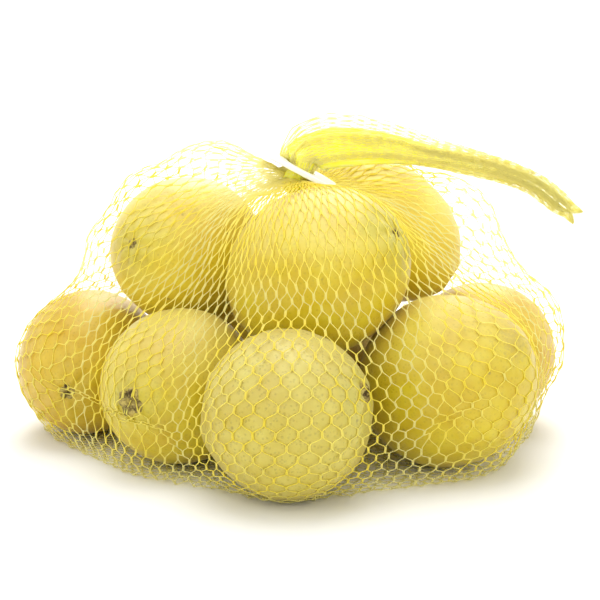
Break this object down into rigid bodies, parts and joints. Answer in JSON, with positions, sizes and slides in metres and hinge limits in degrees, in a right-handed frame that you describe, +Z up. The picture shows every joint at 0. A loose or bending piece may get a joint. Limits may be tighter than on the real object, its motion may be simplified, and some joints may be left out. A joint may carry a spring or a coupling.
{
  "type": "net of lemons",
  "caption": "Net bag of lemons resting on its flat underside, the neck gathered through a white closure plate, with a flattened net tail trailing to one side.",
  "frame": {"origin": "middle of the bounding box at its bottom, on the surface the bag rests on", "axes": "+X along the bag's length towards the end of the tail, +Z up, -Y towards the front fruit"},
  "size_m": [0.219, 0.1632, 0.1276],
  "materials": {
    "net": "extruded yellow polyethylene net, satin",
    "plate": "moulded white polystyrene, slightly translucent",
    "rind": "waxed lemon rind, finely pored, soft sheen",
    "button": "dry grey-green stem button"
  },
  "bodies": {
    "root": {"net_bag": "net", "net_tail": "net", "closure_plate": "plate"}
  },
  "joints": []
}
